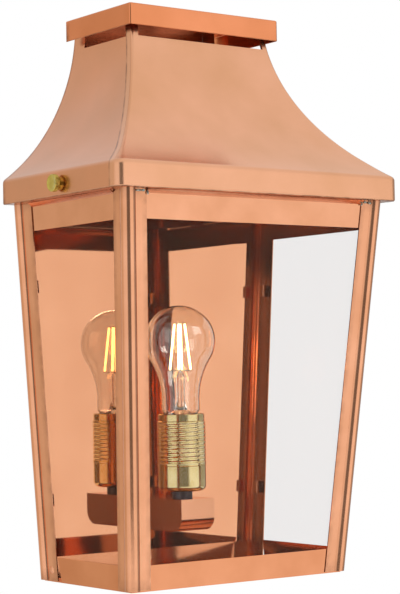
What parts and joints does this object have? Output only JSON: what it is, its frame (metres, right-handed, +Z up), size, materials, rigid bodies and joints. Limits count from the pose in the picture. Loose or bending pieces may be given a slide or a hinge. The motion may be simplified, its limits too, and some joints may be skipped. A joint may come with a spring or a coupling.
{
  "type": "wall lantern",
  "caption": "Half lantern for a wall: tapered copper body with three glass panes, a swept vented roof held by thumb screws, and one lamp on a bracket before a polished back plate",
  "frame": {"origin": "midway between the two wall holes, on the back face of the back plate", "axes": "+X to the right seen from the front, +Y into the wall, +Z up"},
  "size_m": [0.287, 0.1664, 0.4555],
  "materials": {
    "copper": "polished copper sheet",
    "brass": "polished brass",
    "pane": "clear float glass",
    "bulb_glass": "clear blown glass",
    "tinned_metal": "plain",
    "contact_metal": "plain",
    "black_plastic": "satin",
    "white_plastic": "satin",
    "porcelain": "glazed ceramic",
    "black_glass": "fused insulator",
    "rubber": "matt",
    "filament": "lit phosphor"
  },
  "bodies": {
    "lantern": {"backplate": "copper", "tray": "copper", "rear_left_post": "copper", "rear_right_post": "copper", "front_left_post": "copper", "front_right_post": "copper", "front_rail": "copper", "left_rail": "copper", "right_rail": "copper", "front_glass": "pane", "left_glass": "pane", "right_glass": "pane", "glass_clips": "copper", "tray_rivets": "copper", "lamp_bracket": "copper", "cable_grommet": "rubber", "terminal_block": "white_plastic", "terminal_screws": "contact_metal", "nipple": "brass", "nipple_nut": "brass", "holder_spacer": "black_plastic", "holder_cup": "brass", "holder_skirt": "brass", "holder_insert": "porcelain", "screw_shell": "brass", "centre_contact": "brass"},
    "roof": {"roof_front": "copper", "roof_left": "copper", "roof_right": "copper", "roof_back": "copper", "vent_cap": "copper", "screw_bushes": "brass"},
    "left_washer": {"left_washer": "brass"},
    "left_screw": {"left_thumb_screw": "brass"},
    "right_washer": {"right_washer": "brass"},
    "right_screw": {"right_thumb_screw": "brass"},
    "lamp": {"lamp_cap": "tinned_metal", "lamp_insulator": "black_glass", "lamp_contact": "contact_metal", "bulb_glass": "bulb_glass", "bulb_stem": "bulb_glass", "filaments": "filament", "filament_wires": "contact_metal"}
  },
  "joints": [
    {"name": "roof_lift", "type": "slide", "parent": "lantern", "child": "roof", "axis": [0, 0, 1], "range_m": [0, 0.12]},
    {"name": "left_screw_travel", "type": "slide", "parent": "roof", "child": "left_washer", "axis": [-1, 0, 0], "range_m": [0, 0.0056]},
    {"name": "left_screw_turn", "type": "hinge", "parent": "left_washer", "child": "left_screw", "pos_m": [-0.1367, -0.084, -0.0027], "axis": [-1, 0, 0], "range_deg": [0, 2880]},
    {"name": "right_screw_travel", "type": "slide", "parent": "roof", "child": "right_washer", "axis": [1, 0, 0], "range_m": [0, 0.0056]},
    {"name": "right_screw_turn", "type": "hinge", "parent": "right_washer", "child": "right_screw", "pos_m": [0.1367, -0.084, -0.0027], "axis": [1, 0, 0], "range_deg": [0, 2880]},
    {"name": "lamp_turn", "type": "hinge", "parent": "lantern", "child": "lamp", "pos_m": [0, -0.049, -0.2001], "axis": [0, 0, 1], "range_deg": [0, 1080]}
  ],
  "couplings": [
    {"joint": "left_screw_turn", "follows": "left_screw_travel", "rad_per_m": 8976},
    {"joint": "right_screw_turn", "follows": "right_screw_travel", "rad_per_m": 8976}
  ]
}
